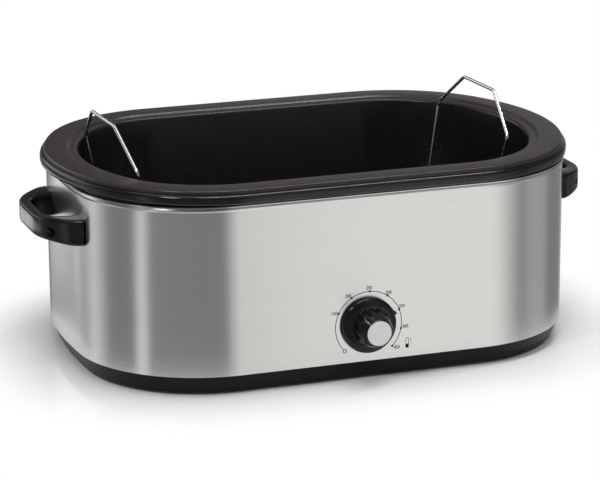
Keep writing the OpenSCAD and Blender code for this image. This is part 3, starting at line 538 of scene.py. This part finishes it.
# The rack: bent and welded steel wire, chromed. Its two lifting handles are single wires with
# rounded bends, which stand up out of the pan and lean out over its flange.

chrome = Finish("rack chrome", Metallic=1.0)
haze = chrome.noise(300, detail=3)
chrome.set(
    Base_Color=chrome.mix(haze, (0.7, 0.7, 0.7), (0.82, 0.82, 0.82)),
    Roughness=haze * 0.08 + 0.13,
)
for node in ("rack_frame", "rack_wires", "rack_feet"):
    dress(node, chrome)

wire_radius, wire_bend, wire_lean = 1.9, 9.0, 11.0
rack_spot = Matrix.Translation((-7.0, 7.0, 0.0)) @ Matrix.Rotation(math.radians(2.3), 4, "Z")
wire_foot = (186.9, 0.0, 78.1)
rise = math.cos(math.radians(wire_lean))
bend_z, top_z = 226.0, 266.0
bend_height, top_height = (bend_z - wire_foot[2]) / rise, (top_z - wire_foot[2]) / rise
wire_corners = [Vector(spot) for spot in ((-77.3, 0.0), (-92.0, bend_height), (-39.0, top_height),
                                          (39.0, top_height), (92.0, bend_height), (77.3, 0.0))]


def bent(corners, radius, steps):
    """The middle line of a wire bent at its corners, as rows of point and direction."""
    line = [(corners[0], (corners[1] - corners[0]).normalized())]
    for before, corner, after in zip(corners, corners[1:], corners[2:]):
        come, go = (corner - before).normalized(), (after - corner).normalized()
        half = come.angle(go) / 2
        centre = corner + (go - come).normalized() * (radius / math.cos(half))
        start = (corner - come * radius * math.tan(half) - centre).normalized()
        end = (corner + go * radius * math.tan(half) - centre).normalized()
        for step in range(steps + 1):
            line.append((centre + radius * start.slerp(end, step / steps), come.slerp(go, step / steps)))
    return [*line, (corners[-1], (corners[-1] - corners[-2]).normalized())]


for side, out in (("left", -1), ("right", 1)):
    stand = (rack_spot @ Matrix.Diagonal((out, 1, 1, 1)) @ Matrix.Translation(wire_foot)
             @ Matrix.Rotation(math.radians(90), 4, "Z")
             @ Matrix.Rotation(math.radians(90 + wire_lean), 4, "X"))
    rings = []
    for spot, direction in bent(wire_corners, wire_bend, 8):
        ahead = Vector((*direction, 0))
        flat = Vector((0, 0, 1))
        rings.append(stand @ axes(flat * wire_radius, ahead.cross(flat) * wire_radius, ahead,
                                  Vector((*spot, 0))))
    wire = bmesh.new()
    bmesh.ops.create_circle(wire, cap_ends=True, segments=14, radius=1.0)
    swept(wire, rings)
    finished("lifting_wire_" + side, wire, "rack", "rack_chrome", chrome, "rack_handle_" + side, sharp=50)


# Inside the wrap: the glass-fibre blanket.

fibre = Finish("glass fibre", Sheen_Weight=0.3)
wool = fibre.noise((420, 420, 120), detail=6, rough=0.7)
fibre.set(
    Base_Color=fibre.mix(wool, (0.55, 0.5, 0.33), (0.8, 0.76, 0.6)),
    Roughness=0.95,
    Normal=fibre.bump(wool, 0.0012),
)
dress("insulation_blanket", fibre)


# The element's sheathed tube, blued and browned by heat.

sheath = Finish("element sheath", Metallic=0.7)
heat = sheath.noise(35, detail=4)
sheath.set(
    Base_Color=sheath.mix(heat, (0.09, 0.075, 0.07), (0.24, 0.2, 0.17)),
    Roughness=heat * 0.25 + 0.4,
)
dress("heating_element", sheath)


# The thermostat's case, its copper bulb and the ceramic terminal block.

case = Finish("thermostat case")
case_grain = case.noise(500, detail=3)
case.set(
    Base_Color=case.mix(case_grain, (0.035, 0.025, 0.02), (0.06, 0.045, 0.035)),
    Roughness=case_grain * 0.15 + 0.4,
)
dress("thermostat_body", case)

copper = Finish("drawn copper", Metallic=1.0)
tarnish = copper.noise(150, detail=4)
copper.set(
    Base_Color=copper.mix(tarnish, (0.45, 0.22, 0.12), (0.8, 0.46, 0.3)),
    Roughness=tarnish * 0.25 + 0.2,
)
dress("sensing_bulb", copper)

bisque = Finish("terminal ceramic")
pores = bisque.noise(1100, detail=3)
bisque.set(
    Base_Color=bisque.mix(pores, (0.74, 0.72, 0.66), (0.86, 0.84, 0.79)),
    Roughness=pores * 0.15 + 0.55,
    Normal=bisque.bump(pores, 0.00005),
)
dress("terminal_block", bisque)


# The leads: braided glass sleeve from the element, red silicone from the thermostat.

sleeve = Finish("braided sleeve")
braid = sleeve.add("ShaderNodeTexWave", {"bands_direction": "DIAGONAL"}, out=1,
                   Vector=sleeve.place(), Scale=420.0, Distortion=0.5)
sleeve.set(
    Base_Color=sleeve.mix(braid, (0.55, 0.52, 0.43), (0.82, 0.8, 0.72)),
    Roughness=0.8,
    Normal=sleeve.bump(braid, 0.0002),
)
dress("heater_leads", sleeve)

silicone = Finish("red silicone")
skin = silicone.noise(300, detail=3)
silicone.set(
    Base_Color=silicone.mix(skin, (0.42, 0.02, 0.015), (0.58, 0.04, 0.03)),
    Roughness=skin * 0.15 + 0.4,
)
dress("thermostat_leads", silicone)


# The studio: a white floor that fades into the white background, a plain world, and round the oven
# a grey wall with soft pale screens, which only reflections see.

floor = Finish("studio floor", Roughness=0.14)
floor.set(Base_Color=(0.86, 0.86, 0.86))
nodes_of_floor = floor.tree.nodes
sight = nodes_of_floor.new("ShaderNodeLightPath")
camera_ray, glossy_ray = (Sock(floor, sight.outputs[ray]) for ray in ("Is Camera Ray", "Is Glossy Ray"))
# how far a point of the floor is from the oven's rounded outline, in metres
core_x, core_y, outline_radius = 0.14, 0.05, 0.14
beside = floor.axis("X").math("ABSOLUTE").math("SUBTRACT", core_x).math("MAXIMUM", 0.0)
before_it = floor.axis("Y").math("ABSOLUTE").math("SUBTRACT", core_y).math("MAXIMUM", 0.0)
reach = (beside * beside + before_it * before_it).math("SQRT") - outline_radius
glow = floor.add("ShaderNodeEmission", None, (1.0, 1.0, 1.0), 1.0)
faded = floor.add("ShaderNodeMixShader", None, reach.above(-0.01, 0.13) * camera_ray,
                  Sock(floor, floor.shader.outputs[0]), glow)
open_air = floor.add("ShaderNodeBsdfTransparent")
opened = floor.add("ShaderNodeMixShader", None, reach.above(0.03, 0.05) * glossy_ray, faded, open_air)
floor.tree.links.new(opened.socket, nodes_of_floor["Material Output"].inputs[0])
sheet = bmesh.new()
bmesh.ops.create_grid(sheet, x_segments=1, y_segments=1, size=12.0)
standing("studio_floor", sheet, floor)

screens = Finish("studio screens")
bearing = screens.axis("Y").math("ARCTAN2", screens.axis("X")) / (2 * math.pi) + 0.5


def screen(start, end, soft_start, soft_end):
    """1 on a screen that stands between two bearings in degrees, with soft edges inside them."""
    return (bearing.above((start + 180) / 360, soft_start / 360)
            * (1 - bearing.above((end - soft_end + 180) / 360, soft_end / 360)))


room_level = 0.25
broad_screen = screen(-90, -20, 20, 40) * 0.75
left_screen = screen(-170, -150, 10, 10) * 0.6
back_screen = screen(130, 170, 20, 20) * 0.4
right_screen = screen(-30, 15, 15, 15) * 0.2
end_screen = screen(40, 80, 10, 10) * 0.3
bands = broad_screen + left_screen + back_screen + right_screen + end_screen + room_level
height = screens.axis("Z")
upper = height.above(0.1, 0.5)
low_strip = height.above(-1.02, 0.04) * (1 - height.above(-0.8, 0.04))
high_strip = height.above(0.5, 0.4) * (1 - height.above(2.6, 0.9))
strip = (bearing.above((98 + 180) / 360, 0.02) * (1 - bearing.above((146 + 180) / 360, 0.03))
         * (low_strip + 0.8 * high_strip))
grey = screens.add("ShaderNodeCombineColor", None, bands, bands, bands)
lit = screens.mix(strip, screens.mix(upper * 0.55, grey, (0.0, 0.0, 0.0)), (1.5, 1.5, 1.5))
panel = screens.add("ShaderNodeEmission", None, lit, 1.0)
screens.tree.links.new(panel.socket, screens.tree.nodes["Material Output"].inputs[0])
wall = bmesh.new()
bmesh.ops.create_cone(wall, cap_ends=False, segments=96, radius1=4.0, radius2=4.0, depth=12.0)
wall_piece = standing("studio_screens", wall, screens)
wall_piece.visible_camera = wall_piece.visible_diffuse = False
wall_piece.visible_shadow = wall_piece.visible_transmission = False

world = bpy.data.worlds.new("studio")
world.use_nodes = True
bpy.context.scene.world = world
world_nodes = world.node_tree
world_nodes.nodes.clear()
air = Finish("studio", tree=world_nodes)
light_path = world_nodes.nodes.new("ShaderNodeLightPath")
seen = Sock(air, light_path.outputs["Is Camera Ray"])
for ray in ("Is Glossy Ray", "Is Transmission Ray"):
    seen = seen.math("MAXIMUM", Sock(air, light_path.outputs[ray]))
sky = air.mix(seen, (0.6, 0.6, 0.6), (1.0, 1.0, 1.0))
ground = air.add("ShaderNodeBackground", None, sky, 1.0)
world_out = world_nodes.nodes.new("ShaderNodeOutputWorld")
world_nodes.links.new(ground.socket, world_out.inputs[0])


def softbox(name, place, aim, size, watts):
    lamp = bpy.data.lights.new(name, "AREA")
    lamp.shape, lamp.size, lamp.size_y, lamp.energy = "RECTANGLE", size[0], size[1], watts
    holder = bpy.data.objects.new(name, lamp)
    holder.location = place
    holder.rotation_euler = (Vector(aim) - Vector(place)).to_track_quat("-Z", "Y").to_euler()
    bpy.context.scene.collection.objects.link(holder)
    return holder


softbox("strip_light", (0.3, -0.5, 2.3), (0, 0, 0.1), (2.4, 0.12), 26)
front = softbox("front_softbox", (-0.6, -2.6, 1.9), (0, 0, 0.1), (1.4, 1.0), 12)
front.visible_glossy = False
softbox("glint_light", (-1.5, -1.1, 1.75), (0, 0, 0.1), (0.42, 0.3), 11)


# The camera stands at the photograph's left front, a little above.

camera = bpy.data.cameras.new("camera")
focal_pixels, frame_width, sensor = 2758.09, 600, 36.0
camera.sensor_fit, camera.sensor_width = "HORIZONTAL", sensor
camera.lens = focal_pixels * sensor / frame_width
camera.clip_start, camera.clip_end = 0.1, 50.0
seat = bpy.data.objects.new("camera", camera)
bpy.context.scene.collection.objects.link(seat)
ahead = Vector((0.3187, 0.9085, -0.2703)).normalized()
right = ahead.cross(Vector((0, 0, 1))).normalized()
up = right.cross(ahead)
roll = math.radians(-0.317)
picture_right = right * math.cos(roll) + up * math.sin(roll)
picture_up = up * math.cos(roll) - right * math.sin(roll)
turned = Matrix((picture_right, picture_up, -ahead)).transposed().to_4x4()
turned.translation = Vector((-0.9891, -2.8043, 0.9418))
seat.matrix_world = turned
bpy.context.scene.camera = seat
bpy.context.scene.view_settings.view_transform = "Standard"
